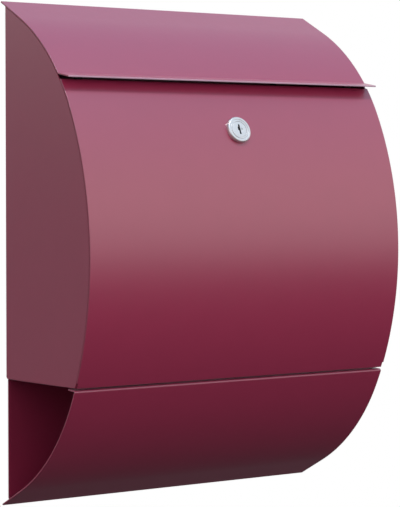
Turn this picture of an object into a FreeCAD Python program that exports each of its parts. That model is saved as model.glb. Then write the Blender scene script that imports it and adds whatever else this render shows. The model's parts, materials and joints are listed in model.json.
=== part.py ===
import FreeCAD, Part
import math
import os
from FreeCAD import Placement, Rotation, Vector

# Wall mounted post box of folded and rolled sheet steel, with an open newspaper tray below it.
# Lengths are in millimetres and angles in degrees.
# X runs across the box to the viewer's right, Y runs into the wall and Z runs up.
# The origin is the centre of the four mounting holes, on the surface of the wall.

# Overall form
overall_width = 372.0
overall_height = 480.0        # between the rear tips of the flap and the tray
middle_height = -50.0         # middle of the curved front, from the origin
tip_gap = 5.0                 # wall surface to the rear tips
back_recess = 5.6             # rear tips to the rear face of the back plate

# Curved front: one front radius, a tighter shoulder above and below it, and straight tails
shoulder_radius = 194.2
shoulder_angle = 26.4         # lean of the surface where the front radius meets the shoulder
tail_angle = 62.6             # lean of the surface on the straight tails
tail_length = 37.5

# Sheets
skin = 1.5                    # rolled flap, door and tray
wall = 1.2                    # folded housing, floor and rail
inside_bend = 1.2             # inside radius of a fold
rear_bend = 3.0               # outside radius between the sides and the back
relief_radius = 1.8           # hole that ends the fold between side and back
seat_gap = 0.3                # closed flap and door to what they close on
slide_gap = 0.4               # moving ends to the side walls

# Heights on the curved front, from its middle
flap_lip_height = 169.1
lip_length = 18.7
lip_slope = 10.0
slot_gap = 4.5                # underside of the lip to the top of the door
door_bottom_height = -118.5
door_foot_gap = 1.7           # bottom of the door to the top of the tray
tray_fold_bend = 0.6          # inside radius of the fold under the door
tray_flange_slope = 5.0
tray_seat_grip = 16.0         # level end of the flange, flat against the floor behind the step
tray_flange_full = 10.8       # top of the tray's front to where the flange gets narrower
tray_flange_relief = 22.0     # how much is cut off each end of the flange behind that
foot_length = 14.0            # foot of the back plate, on the tray

# Floor of the letter compartment
floor_height = -118.0
floor_flange = 15.0
sill_depth = 12.0
sill_run = 8.0                # length of the slope that steps the sill up
fold_gap = 2.0                # between flanges that meet in a corner

# Continuous hinges of the flap and the door
hinge_leaf = 0.8
hinge_leaf_width = 13.0
hinge_rod_radius = 1.0
rod_clearance = 0.05
knuckle_count = 9
knuckle_gap = 0.3
knuckle_curl_angle = 300.0
hinge_inset = 8.0             # side walls to the ends of a hinge
hinge_rise = 2.0              # bottom of the door to the hinge axis
weld_gap = 0.1                # door to the curved leaf that is spot-welded to it
back_edge_drop = 0.8          # flap hinge axis to the top of the back plate

# Mounting holes and the bushes that hold the box off the wall
hole_spacing_x = 280.0
hole_spacing_z = 230.0
screw_hole_radius = 3.25
bush_neck_radius = 5.0
bush_radius = 10.0
bush_bead = 0.4               # how far the snap bead stands out past the neck
bush_bead_length = 1.4
bush_chamfer = 0.8
neck_clearance = 0.1

# Cam lock
lock_drop = 45.3              # top of the door to the lock's axis
lock_face_radius = 13.0
lock_face_depth = 3.6
lock_face_chamfer = 0.8
lock_body_radius = 9.5
lock_body_length = 15.0
lock_flat_half = 8.2
lock_clearance = 0.1
plug_head_radius = 8.0
plug_head_depth = 4.4
plug_recess = 0.2             # plug's face behind the lock's face
plug_radius = 6.5
turn_clearance = 0.05
face_groove_radius = 9.9
face_groove_width = 0.9
face_groove_depth = 0.5
keyway_width = 1.8
keyway_height = 10.0
keyway_depth = 13.0
ward_width = 1.0              # shallow widening of the keyway to its left
ward_height = 3.6
ward_rise = 0.8               # middle of the keyway to the middle of the ward
ward_depth = 2.0
dimple_radius = 1.3
dimple_offset = 2.7
dimple_depth = 0.4
lock_washer_radius = 12.5
lock_washer_thickness = 0.8
lock_washer_teeth = 12
washer_notch = 1.6
lock_nut_flats = 22.0
lock_nut_thickness = 4.5
lock_nut_chamfer = 1.2
drive_half = 3.5
stop_disc_thickness = 1.2
stop_disc_radius = 9.2
stop_track_radius = 6.6
stop_lug_angle = 50.0
stop_lug_clearance = 2.0
cam_turn = 90.0
cam_thickness = 2.0
cam_width = 14.0
cam_hub_radius = 8.5
cam_length = 34.0
cam_spring_radius = 5.6
cam_spring_thickness = 0.8
cam_spring_split = 0.6
cam_screw_radius = 2.0
cam_screw_head_radius = 4.4
cam_screw_head = 2.2
cam_screw_chamfer = 0.6
cam_screw_length = 7.0
tapped_reserve = 1.5          # end of the screw to the bottom of its hole
screw_slot_width = 1.0
screw_slot_depth = 1.1

# Strike rail behind the top of the door
rail_drop = 4.0               # top of the door to the top of the rail
rail_gap = 2.0                # inner face of the door to the rail
rail_lip = 10.0
strike_clearance = 0.5        # strike face to the cam behind it
strike_start = 14.5           # lock axis to the lower edge of the strike face
rail_tab_depth = 8.0
buffer_radius = 4.0
buffer_chamfer = 0.6
buffer_inset = 22.0           # side walls to the middle of a buffer

# Rivets
rivet_radius = 2.0
rivet_head_radius = 3.6
rivet_head = 1.2
rivet_spread_radius = 2.9
rivet_spread = 1.4
rivet_clearance = 0.1
tray_rivet_count = 4
tray_rivet_inset = 46.0       # side walls to the first rivet of the tray
hinge_rivet_radius = 1.5
hinge_rivet_head_radius = 2.7
hinge_rivet_head = 0.8
hinge_rivet_spread_radius = 2.2
hinge_rivet_count = 4
hinge_rivet_row = 8.5         # hinge axis to the row of rivets
hinge_rivet_inset = 20.0      # end of a hinge to its first rivet

# Angles that turns are counted from
right_angle = 90.0
half_turn = 180.0
full_turn = 360.0
lean_tolerance = 1e-9         # how closely the lean of the tray's fold is worked out

# Helpers for the solids
overlap = 1.0                 # how far solids reach into each other before they are joined
drill_reach = 10.0            # how far a drill runs past the middle of its hole, each way


def sine(angle):
    return math.sin(math.radians(angle))


def cosine(angle):
    return math.cos(math.radians(angle))


# Places worked out from the sizes above
front_radius = (overall_height / 2 - tail_length * cosine(tail_angle)
                - shoulder_radius * (sine(tail_angle) - sine(shoulder_angle))) / sine(shoulder_angle)
front_depth = (front_radius * (1 - cosine(shoulder_angle))
               + shoulder_radius * (cosine(shoulder_angle) - cosine(tail_angle))
               + tail_length * sine(tail_angle))
front_centre_y = front_radius - front_depth - tip_gap
half_width = overall_width / 2
inner_half = half_width - wall
back_rear = -tip_gap - back_recess
back_front = back_rear - wall
floor_top = middle_height + floor_height
floor_under = floor_top - wall
knuckle_radius = hinge_rod_radius + rod_clearance + hinge_leaf
hinge_length = 2 * (inner_half - hinge_inset)


def skin_point(lean, depth=0.0):
    """Point (y, z) on the curved front where its outward normal leans up by this angle."""
    y = front_centre_y
    z = middle_height
    radius = front_radius
    if abs(lean) > shoulder_angle:
        radius = shoulder_radius
        y -= (front_radius - shoulder_radius) * cosine(shoulder_angle)
        z += math.copysign((front_radius - shoulder_radius) * sine(shoulder_angle), lean)
    return (y - (radius - depth) * cosine(lean), z + (radius - depth) * sine(lean))


def lean_at(height, depth=0.0):
    """Lean of the curved front at a height above its middle, on the face this deep inside it."""
    reach = abs(height)
    if reach <= (front_radius - depth) * sine(shoulder_angle):
        ratio = reach / (front_radius - depth)
    else:
        shoulder_centre = (front_radius - shoulder_radius) * sine(shoulder_angle)
        ratio = (reach - shoulder_centre) / (shoulder_radius - depth)
    return math.copysign(math.degrees(math.asin(ratio)), height)


def skin_moves(start, end, depth=0.0):
    """Bends that follow the curved front from one lean to another, on the face this deep inside it."""
    stops = [start]
    for joint in sorted([-shoulder_angle, shoulder_angle], reverse=end < start):
        if min(start, end) < joint < max(start, end):
            stops.append(joint)
    stops.append(end)
    moves = []
    for first, last in zip(stops, stops[1:]):
        radius = front_radius if abs(first + last) / 2 < shoulder_angle else shoulder_radius
        moves.append((radius - depth, first - last))
    return moves


def walk(start, heading, moves, shift=0.0):
    """Pieces of a path of runs (length,) and bends (radius, turn), moved to its left by shift.

    Headings are counterclockwise from the plane's first axis, and a positive turn is to the left.
    """
    here = (start[0] - shift * sine(heading), start[1] + shift * cosine(heading))
    pieces = []
    for move in moves:
        if len(move) == 1:
            piece = [here, (here[0] + move[0] * cosine(heading), here[1] + move[0] * sine(heading))]
        else:
            side = math.copysign(1, move[1])
            reach = side * (move[0] - side * shift)
            centre = (here[0] - reach * sine(heading), here[1] + reach * cosine(heading))
            piece = [here]
            for angle in (heading + move[1] / 2, heading + move[1]):
                piece.append((centre[0] + reach * sine(angle), centre[1] - reach * cosine(angle)))
            heading += move[1]
        pieces.append(piece)
        here = piece[-1]
    return pieces


def side_plane(a, b):
    return Vector(0, a, b)


def top_plane(a, b):
    return Vector(a, b, 0)


def front_plane(a, b):
    return Vector(a, 0, b)


def path_edge(piece, plane):
    points = [plane(*point) for point in piece]
    if len(points) == 2:
        return Part.makeLine(*points)
    return Part.Arc(*points).toShape()


def closed_face(edges):
    return Part.Face(Part.Wire(Part.__sortEdges__(edges)))


def sheet_face(start, heading, moves, thickness, plane=side_plane, shift=0.0):
    """Section of a folded sheet: one face follows the path, and a positive thickness is to its left."""
    near = walk(start, heading, moves, shift)
    far = walk(start, heading, moves, shift + thickness)
    pieces = near + far + [[near[0][0], far[0][0]], [near[-1][-1], far[-1][-1]]]
    return closed_face([path_edge(piece, plane) for piece in pieces])


def fold_path(corners, thickness, inside):
    """Start, heading and moves of a folded sheet whose marked face would run through these corners."""
    steps = [(q[0] - p[0], q[1] - p[1]) for p, q in zip(corners, corners[1:])]
    headings = [math.degrees(math.atan2(step[1], step[0])) for step in steps]
    lengths = [math.hypot(*step) for step in steps]
    bends = []
    for before, after in zip(headings, headings[1:]):
        turn = (after - before + half_turn) % full_turn - half_turn
        radius = inside + (abs(thickness) if turn * thickness > 0 else 0)
        bends.append((radius, turn))
    trims = [0.0] + [radius * math.tan(math.radians(abs(turn)) / 2) for radius, turn in bends] + [0.0]
    moves = []
    for index, length in enumerate(lengths):
        moves.append((length - trims[index] - trims[index + 1],))
        if index < len(bends):
            moves.append(bends[index])
    return corners[0], headings[0], moves


def folded_face(corners, thickness, plane=side_plane, inside=inside_bend):
    return sheet_face(*fold_path(corners, thickness, inside), thickness, plane)


def spread(face, half):
    """Solid from a side section that runs from -half to half across the box."""
    solid = face.extrude(Vector(2 * half, 0, 0))
    solid.translate(Vector(-half, 0, 0))
    return solid


def between(face, low, high):
    solid = face.extrude(Vector(high - low, 0, 0))
    solid.translate(Vector(low, 0, 0))
    return solid


def both_sides(shape):
    return [shape, shape.mirror(Vector(0, 0, 0), Vector(1, 0, 0))]


def joined(shapes):
    solid = shapes[0].fuse(shapes[1:]) if len(shapes) > 1 else shapes[0]
    return solid.removeSplitter()


def rod(radius, start, end):
    """Round bar between two points."""
    axis = Vector(*end) - Vector(*start)
    return Part.makeCylinder(radius, axis.Length, Vector(*start), axis)


def drills(points, radius, direction):
    """Round cutters through these points, along a direction."""
    reach = Vector(*direction) * drill_reach
    return [rod(radius, Vector(*point) - reach, Vector(*point) + reach) for point in points]


def evenly(count, half):
    """This many places, from -half to half."""
    return [-half + 2 * half * index / (count - 1) for index in range(count)]


# Places of the flap, the door, the tray and their hinge axes
tip_top = (-tip_gap, middle_height + overall_height / 2)
tip_bottom = (-tip_gap, middle_height - overall_height / 2)
flap_lip_lean = lean_at(flap_lip_height)
door_top_height = flap_lip_height - skin - slot_gap
door_top_lean = lean_at(door_top_height)
door_bottom_lean = lean_at(door_bottom_height)
hinge_lean = lean_at(door_bottom_height + hinge_rise * cosine(door_bottom_lean))
door_axis_depth = skin + weld_gap + knuckle_radius
door_axis = skin_point(hinge_lean, door_axis_depth)
door_swing_radius = math.hypot(door_axis_depth, hinge_rise)
flap_axis_y = back_rear + knuckle_radius
flap_axis_run = ((skin + knuckle_radius) * cosine(tail_angle) - tip_gap - flap_axis_y) / sine(tail_angle)
flap_axis_drop = (skin + knuckle_radius) * sine(tail_angle) + flap_axis_run * cosine(tail_angle)
flap_axis = (flap_axis_y, tip_top[1] - flap_axis_drop)
sill_top = door_axis[1] + knuckle_radius - hinge_leaf
sill_front = door_axis[0] + door_swing_radius + 2 * seat_gap
step_rear = sill_front + sill_depth + sill_run

# The lock stands square to the door, so its parts are drawn about Z with the door's outer face at zero
lock_lean = lean_at(door_top_height - lock_drop)
lock_point = skin_point(lock_lean)
lock_place = Placement(Vector(0, *lock_point), Rotation(Vector(1, 0, 0), right_angle - lock_lean))
lock_bend_radius = (front_radius if lock_lean < shoulder_angle else shoulder_radius) - skin
washer_rise = lock_bend_radius - math.sqrt(lock_bend_radius ** 2 - lock_washer_radius ** 2)
washer_front = -skin - washer_rise - turn_clearance
nut_front = washer_front - lock_washer_thickness
disc_front = -lock_body_length - turn_clearance
cam_front = disc_front - stop_disc_thickness
cam_rear = cam_front - cam_thickness
strike_rear = cam_front + strike_clearance


def lock_side_point(up, out):
    """Point (y, z) beside the lock's axis: up along the door, and out of it."""
    y = lock_point[0] + up * sine(lock_lean) - out * cosine(lock_lean)
    z = lock_point[1] + up * cosine(lock_lean) + out * sine(lock_lean)
    return (y, z)


def side_profile():
    """Outline of a side wall: under the curved front, in front of the back and above the floor's level."""
    depth = skin + seat_gap
    start_lean = lean_at(floor_height, depth)
    moves = skin_moves(start_lean, tail_angle, depth) + [(tail_length,)]
    pieces = walk(skin_point(start_lean, depth), right_angle - start_lean, moves)
    tail_start, tail_end = pieces[-1]
    slope = (tail_end[1] - tail_start[1]) / (tail_end[0] - tail_start[0])
    rear_top = (back_rear, tail_start[1] + slope * (back_rear - tail_start[0]))
    pieces[-1] = [tail_start, rear_top]
    rear_bottom = (back_rear, floor_top)
    pieces += [[rear_top, rear_bottom], [rear_bottom, pieces[0][0]]]
    return closed_face([path_edge(piece, side_plane) for piece in pieces])


def back_holes():
    """Holes in the back plate for the necks of the bushes and the rivets of the flap's hinge."""
    return (drills(mounting_points(), bush_neck_radius + neck_clearance, (0, 1, 0))
            + drills(flap_rivet_points(), hinge_rivet_radius + rivet_clearance, (0, 1, 0)))


def make_housing():
    """Back plate and both side walls folded from one sheet, with the back running on down to a foot."""
    front_y = -front_depth - 2 * tip_gap
    corners = [(-half_width, front_y), (-half_width, back_rear)]
    corners += [(-x, y) for x, y in reversed(corners)]
    plan = folded_face(corners, -wall, top_plane, rear_bend - wall)
    shell = plan.extrude(Vector(0, 0, overall_height))
    shell.translate(Vector(0, 0, floor_top))
    shell = shell.common(spread(side_profile(), half_width + wall))

    back_edge = flap_axis[1] - back_edge_drop
    foot_corner = tail_face_point(tip_bottom, -1, back_rear)
    foot_heading = right_angle + tail_angle
    foot_end = (foot_corner[0] + foot_length * cosine(foot_heading),
                foot_corner[1] + foot_length * sine(foot_heading))
    lower = folded_face([(back_rear, floor_top), foot_corner, foot_end], -wall)
    housing = joined([shell, spread(lower, half_width - rear_bend)])
    back_half = half_width - rear_bend
    top_cut = Part.makeBox(2 * back_half, 2 * rear_bend, overall_height,
                           Vector(-back_half, back_rear - rear_bend, back_edge))
    relief_x = half_width - rear_bend / 2
    reliefs = [rod(relief_radius, (x, back_rear + overlap, floor_top), (x, back_rear - rear_bend, floor_top))
               for x in (-relief_x, relief_x)]
    return housing.cut([top_cut] + reliefs + back_holes())


def tail_face_point(tip, side, y):
    """Point on the inner face of a tail, above or below by side, at this distance from the wall."""
    inner = (tip[0] + skin * cosine(tail_angle), tip[1] - side * skin * sine(tail_angle))
    run = (inner[0] - y) / sine(tail_angle)
    return (y, inner[1] - side * run * cosine(tail_angle))


def mounting_points():
    return [(side_x * hole_spacing_x / 2, back_rear, side_z * hole_spacing_z / 2)
            for side_x in (-1, 1) for side_z in (-1, 1)]


def make_bushes():
    """Moulded bush at each hole: it keeps the box off the wall and snaps into the back plate."""
    bushes = []
    for x, y, z in mounting_points():
        body = rod(bush_radius, (x, 0, z), (x, y, z))
        body = body.makeChamfer(bush_chamfer, [body.Edges[2]])
        neck = rod(bush_neck_radius, (x, y + overlap, z), (x, back_front, z))
        bead_end = back_front - bush_bead_length
        bead = rod(bush_neck_radius + neck_clearance + bush_bead, (x, back_front, z), (x, bead_end, z))
        bore = rod(screw_hole_radius, (x, overlap, z), (x, bead_end - overlap, z))
        bushes.append(body.fuse([neck, bead]).cut(bore))
    return Part.makeCompound(bushes)


def flap_path():
    """The flap's outer face from its rear tip forward, with the lip folded out at the end."""
    turn = lip_slope - (right_angle - flap_lip_lean)
    moves = [(tail_length,)] + skin_moves(tail_angle, flap_lip_lean)
    moves += [(inside_bend, turn), (lip_length - inside_bend,)]
    return tip_top, full_turn - right_angle - tail_angle, moves


def make_flap():
    return spread(sheet_face(*flap_path(), skin), half_width)


def make_door():
    """Rolled door panel with the lock's hole and a small notch in each lower corner."""
    moves = skin_moves(door_bottom_lean, door_top_lean)
    face = sheet_face(skin_point(door_bottom_lean), right_angle - door_bottom_lean, moves, -skin)
    panel = spread(face, half_width)
    notch_height = hinge_rise + knuckle_radius + skin
    notch_top = lean_at(door_bottom_height + notch_height * cosine(door_bottom_lean))
    notch_bottom = 2 * door_bottom_lean - notch_top
    notch = sheet_face(skin_point(notch_bottom, -skin), right_angle - notch_bottom,
                       skin_moves(notch_bottom, notch_top, -skin), -3 * skin)
    notches = both_sides(between(notch, inner_half - slide_gap, half_width + wall))
    hole = rod(lock_body_radius + lock_clearance, (0, 0, -2 * skin), (0, 0, 2 * skin))
    flats = Part.makeBox(2 * (lock_flat_half + lock_clearance), 4 * lock_body_radius, 4 * skin,
                         Vector(-lock_flat_half - lock_clearance, -2 * lock_body_radius, -2 * skin))
    opening = hole.common(flats)
    opening.Placement = lock_place
    return panel.cut(notches + [opening])


def tray_lean():
    """Lean where the tray starts to fold, so that its flange starts just below the door."""
    target = door_bottom_height - door_foot_gap
    radius = tray_fold_bend + skin
    low = -tail_angle
    high = 0.0
    while high - low > lean_tolerance:
        middle = (low + high) / 2
        height = skin_point(middle)[1] - middle_height
        if height + radius * (cosine(tray_flange_slope) - sine(middle)) > target:
            high = middle
        else:
            low = middle
    return low


def tray_path():
    """The tray's outer face from its rear tip up to the fold, then the flange up to the floor's level."""
    lean = tray_lean()
    fold = inside_bend + skin
    heading = right_angle + tail_angle
    moves = [(tail_length,)] + skin_moves(-tail_angle, lean)
    moves += [(tray_fold_bend + skin, tray_flange_slope - right_angle + lean)]
    y, z = walk(tip_bottom, heading, moves)[-1][-1]
    rise = floor_under - z
    seat_start = y + rise / math.tan(math.radians(tray_flange_slope))
    trim = fold * math.tan(math.radians(tray_flange_slope) / 2)
    moves += [(rise / sine(tray_flange_slope) - trim,), (fold, -tray_flange_slope),
              (step_rear + tray_seat_grip - seat_start - trim,)]
    return tip_bottom, heading, moves


def make_tray():
    """Rolled tray, open at both ends, with its flange riveted under the letter compartment's floor."""
    tray = spread(sheet_face(*tray_path(), -skin), half_width)
    start = skin_point(tray_lean())[0] + tray_flange_full
    low = middle_height + door_bottom_height - door_foot_gap - 2 * skin
    relief = Part.makeBox(tray_flange_relief + overlap, step_rear + tray_seat_grip + overlap - start,
                          floor_under + overlap - low, Vector(half_width - tray_flange_relief, start, low))
    return tray.cut(both_sides(relief) + tray_rivet_holes())


def tray_rivet_points():
    y = step_rear + tray_seat_grip / 2
    return [(x, y, floor_under) for x in evenly(tray_rivet_count, inner_half - tray_rivet_inset)]


def tray_rivet_holes():
    return drills(tray_rivet_points(), rivet_radius + rivet_clearance, (0, 0, 1))


def door_hinge_holes():
    return drills(door_rivet_points(), hinge_rivet_radius + rivet_clearance, (0, 0, 1))


def make_floor():
    """Floor pan of the letter compartment: three upturned edges and a raised sill at the front."""
    corners = [(back_front, floor_top + floor_flange), (back_front, floor_under), (step_rear, floor_under),
               (sill_front + sill_depth, sill_top - wall), (sill_front, sill_top - wall)]
    fold = inside_bend + wall
    pan = spread(folded_face(corners, -wall), inner_half - fold)
    edge_corners = [(inner_half - 2 * fold, floor_under), (inner_half, floor_under),
                    (inner_half, floor_top + floor_flange)]
    edge = folded_face(edge_corners, wall, front_plane)
    rear_y = back_front - fold - fold_gap
    length = rear_y - step_rear - fold
    edge = edge.extrude(Vector(0, -length, 0))
    edge.translate(Vector(0, rear_y, 0))
    pan = joined([pan] + both_sides(edge))
    return pan.cut(tray_rivet_holes() + door_hinge_holes())


def rail_corners():
    """Corners of the strike rail's outer face, from the strike's lower edge round to the front lip."""
    top = middle_height + door_top_height - rail_drop
    strike_foot = lock_side_point(strike_start, strike_rear)
    strike_up = (top - strike_foot[1]) / cosine(lock_lean)
    strike_head = (strike_foot[0] + strike_up * sine(lock_lean), top)
    depth = skin + rail_gap
    front_lean = lean_at(top - middle_height, depth)
    front_head = skin_point(front_lean, depth)
    lip_foot = (front_head[0] - rail_lip * sine(front_lean), front_head[1] - rail_lip * cosine(front_lean))
    return [strike_foot, strike_head, front_head, lip_foot]


def make_strike_rail():
    """Channel across the front: the cam turns up behind its rear leg, and its ends fold onto the sides."""
    corners = rail_corners()
    fold = inside_bend + wall
    channel = spread(folded_face(corners, wall), inner_half - fold)
    leg = (corners[1][1] - corners[0][1]) / cosine(lock_lean)
    tab_corners = [(inner_half - 2 * fold, strike_rear), (inner_half, strike_rear),
                   (inner_half, strike_rear + rail_tab_depth)]
    tab = folded_face(tab_corners, wall, front_plane).extrude(Vector(0, leg - 2 * fold, 0))
    tab.translate(Vector(0, strike_start, 0))
    tab.Placement = lock_place.multiply(tab.Placement)
    return joined([channel] + both_sides(tab))


def make_leaf(face, odd, axis):
    """Hinge leaf: a rolled section whose knuckles are cut away where the other leaf has its own."""
    leaf = spread(face, hinge_length / 2)
    pitch = hinge_length / knuckle_count
    windows = []
    for index in range(knuckle_count):
        if index % 2 != odd:
            low = -hinge_length / 2 + index * pitch - knuckle_gap / 2
            high = low + pitch + knuckle_gap
            windows.append(rod(knuckle_radius + knuckle_gap, (low, *axis), (high, *axis)))
    return leaf.cut(windows)


def flap_hinge_leaves():
    """Fixed leaf on the back plate's rear face, moving leaf under the flap's tail."""
    moves = [(hinge_leaf_width,), (knuckle_radius, -knuckle_curl_angle)]
    fixed = sheet_face((back_rear, flap_axis[1] - hinge_leaf_width), right_angle, moves, -hinge_leaf)
    heading = right_angle - tail_angle
    y = flap_axis[0] - knuckle_radius * cosine(tail_angle)
    z = flap_axis[1] + knuckle_radius * sine(tail_angle)
    start = (y - hinge_leaf_width * cosine(heading), z - hinge_leaf_width * sine(heading))
    moving = sheet_face(start, heading, moves, -hinge_leaf)
    return make_leaf(fixed, 0, flap_axis).cut(back_holes()), make_leaf(moving, 1, flap_axis)


def door_hinge_leaves():
    """Fixed leaf on the floor's sill, moving leaf rolled to the door's inner face."""
    fixed_start = (door_axis[0] + hinge_leaf_width, door_axis[1] + knuckle_radius)
    curl = (knuckle_radius, knuckle_curl_angle)
    fixed = sheet_face(fixed_start, half_turn, [(hinge_leaf_width,), curl], hinge_leaf)
    top_lean = hinge_lean + math.degrees(hinge_leaf_width / front_radius)
    moves = skin_moves(top_lean, hinge_lean, skin + weld_gap) + [curl]
    heading = full_turn - right_angle - top_lean
    moving = sheet_face(skin_point(top_lean, skin + weld_gap), heading, moves, hinge_leaf)
    return make_leaf(fixed, 0, door_axis).cut(door_hinge_holes()), make_leaf(moving, 1, door_axis)


def make_hinge_rod(axis):
    pin = rod(hinge_rod_radius, (-hinge_length / 2, *axis), (hinge_length / 2, *axis))
    return pin.makeChamfer(hinge_rod_radius / 4, [pin.Edges[0], pin.Edges[2]])


def hinge_rivet_places():
    return evenly(hinge_rivet_count, hinge_length / 2 - hinge_rivet_inset)


def flap_rivet_points():
    return [(x, back_rear + hinge_leaf, flap_axis[1] - hinge_rivet_row) for x in hinge_rivet_places()]


def door_rivet_points():
    return [(x, door_axis[0] + hinge_rivet_row, sill_top + hinge_leaf) for x in hinge_rivet_places()]


def rivet(radius, head_radius, head, grip, spread_radius, spread_length):
    """Rivet standing on Z: chamfered head below zero, grip above it, and the spread end on top."""
    cap = rod(head_radius, (0, 0, 0), (0, 0, -head))
    cap = cap.makeChamfer(head / 2, [cap.Edges[0]])
    shank = rod(radius, (0, 0, -head / 2), (0, 0, grip + spread_length / 2))
    end = rod(spread_radius, (0, 0, grip), (0, 0, grip + spread_length))
    return cap.fuse([shank, end])


def make_tray_rivets():
    """Rivets through the tray's flange and the floor, heads below."""
    grip = skin + wall
    one = rivet(rivet_radius, rivet_head_radius, rivet_head, grip, rivet_spread_radius, rivet_spread)
    rivets = []
    for x, y, z in tray_rivet_points():
        copy = one.copy()
        copy.translate(Vector(x, y, z - skin))
        rivets.append(copy)
    return Part.makeCompound(rivets)


def make_hinge_rivets(points, turn):
    """Small rivets through a fixed leaf and the sheet behind it, heads on the leaf."""
    one = rivet(hinge_rivet_radius, hinge_rivet_head_radius, hinge_rivet_head, hinge_leaf + wall,
                hinge_rivet_spread_radius, hinge_rivet_head)
    rivets = []
    for point in points:
        copy = one.copy()
        copy.Placement = Placement(Vector(*point), Rotation(Vector(1, 0, 0), turn))
        rivets.append(copy)
    return Part.makeCompound(rivets)


def turned_ring(outer, inner, low, high):
    ring = Part.makeCylinder(outer, high - low, Vector(0, 0, low))
    return ring.cut(Part.makeCylinder(inner, high - low, Vector(0, 0, low)))


def sector(radius, inner, low, high, start, sweep):
    """Part of a ring, from a start angle through a sweep."""
    slice_ = Part.makeCylinder(radius, high - low, Vector(0, 0, low), Vector(0, 0, 1), sweep)
    slice_.rotate(Vector(0, 0, 0), Vector(0, 0, 1), start)
    return slice_.cut(Part.makeCylinder(inner, high - low, Vector(0, 0, low)))


def make_lock_housing():
    """Lock body with its round face, double flats, plug bore and the lug that stops the quarter turn."""
    face = Part.makeCylinder(lock_face_radius, lock_face_depth)
    rim = [edge for edge in face.Edges if edge.BoundBox.ZMin > lock_face_depth / 2]
    face = face.makeChamfer(lock_face_chamfer, rim)
    flats = Part.makeBox(2 * lock_flat_half, 4 * lock_body_radius, 2 * lock_body_length,
                         Vector(-lock_flat_half, -2 * lock_body_radius, -2 * lock_body_length))
    body = Part.makeCylinder(lock_body_radius, lock_body_length, Vector(0, 0, -lock_body_length))
    lug_rear = -lock_body_length - stop_disc_thickness
    lug = sector(stop_disc_radius, stop_track_radius + lock_clearance, lug_rear, overlap - lock_body_length,
                 -right_angle - stop_lug_angle / 2, stop_lug_angle)
    groove_inner = face_groove_radius - face_groove_width / 2
    groove = turned_ring(groove_inner + face_groove_width, groove_inner,
                         lock_face_depth - face_groove_depth, lock_face_depth + overlap)
    head_bore = Part.makeCylinder(plug_head_radius + turn_clearance, plug_head_depth + overlap,
                                  Vector(0, 0, lock_face_depth - plug_head_depth - turn_clearance))
    bore_start = Vector(0, 0, lug_rear - overlap)
    bore = Part.makeCylinder(plug_radius + turn_clearance, 2 * lock_body_length, bore_start)
    return face.fuse([body.common(flats), lug.common(flats)]).cut([groove, head_bore, bore]).removeSplitter()


def make_keyway():
    """Upright slot for the key, with a shallow ward beside its upper middle."""
    front = lock_face_depth + overlap
    slot = Part.makeBox(keyway_width, keyway_height, keyway_depth + overlap,
                        Vector(-keyway_width / 2, -keyway_height / 2, front - keyway_depth - overlap))
    ward = Part.makeBox(ward_width + keyway_width / 2, ward_height, ward_depth + overlap,
                        Vector(-ward_width - keyway_width / 2, ward_rise - ward_height / 2,
                               front - ward_depth - overlap))
    return slot.fuse(ward)


def make_lock_plug():
    """Turning plug: wide head with the keyway, barrel, and a square end drilled for the cam's screw."""
    front = lock_face_depth - plug_recess
    head_start = Vector(0, 0, lock_face_depth - plug_head_depth)
    head = Part.makeCylinder(plug_head_radius, plug_head_depth - plug_recess, head_start)
    barrel = Part.makeCylinder(plug_radius, front - plug_recess - disc_front, Vector(0, 0, disc_front))
    stub_rear = cam_rear + turn_clearance
    stub = Part.makeBox(2 * drive_half, 2 * drive_half, disc_front + overlap - stub_rear,
                        Vector(-drive_half, -drive_half, stub_rear))
    dimple_start = Vector(dimple_offset, 0, front - dimple_depth)
    dimple = Part.makeCylinder(dimple_radius, dimple_depth + overlap, dimple_start)
    tapped_top = cam_rear - cam_spring_thickness + cam_screw_length + tapped_reserve
    tapped_radius = cam_screw_radius + turn_clearance
    tapped = Part.makeCylinder(tapped_radius, tapped_top - cam_rear, Vector(0, 0, cam_rear))
    return head.fuse([barrel, stub]).cut([make_keyway(), dimple, tapped]).removeSplitter()


def square_hole(low, high):
    """Cutter for the hole that sits on the plug's square end."""
    half = drive_half + turn_clearance
    return Part.makeBox(2 * half, 2 * half, high - low + 2 * overlap, Vector(-half, -half, low - overlap))


def make_stop_disc():
    """Disc on the square end: its cut-back stretch lets the plug turn from one stop to the other."""
    low = cam_front + turn_clearance / 2
    high = disc_front - turn_clearance / 2
    inner = Part.makeCylinder(stop_track_radius, high - low, Vector(0, 0, low))
    window = cam_turn + stop_lug_angle + 2 * stop_lug_clearance
    start = cam_turn - right_angle + stop_lug_angle / 2 + stop_lug_clearance
    outer = sector(stop_disc_radius, drive_half, low, high, start, full_turn - window)
    return inner.fuse(outer).cut(square_hole(low, high)).removeSplitter()


def make_cam():
    """Cam lying to the left of the plug when open."""
    hub = Part.makeCylinder(cam_hub_radius, cam_thickness, Vector(0, 0, cam_rear))
    reach = cam_length - cam_width / 2
    bar = Part.makeBox(reach, cam_width, cam_thickness, Vector(-reach, -cam_width / 2, cam_rear))
    end = Part.makeCylinder(cam_width / 2, cam_thickness, Vector(-reach, 0, cam_rear))
    return hub.fuse([bar, end]).cut(square_hole(cam_rear, cam_front)).removeSplitter()


def make_cam_spring():
    """Split spring washer under the screw's head."""
    low = cam_rear - cam_spring_thickness
    ring = turned_ring(cam_spring_radius, cam_screw_radius + turn_clearance, low, cam_rear)
    return ring.cut(Part.makeBox(2 * cam_spring_radius, cam_spring_split, 4 * cam_spring_thickness,
                                 Vector(0, -cam_spring_split / 2, low - cam_spring_thickness)))


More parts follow.
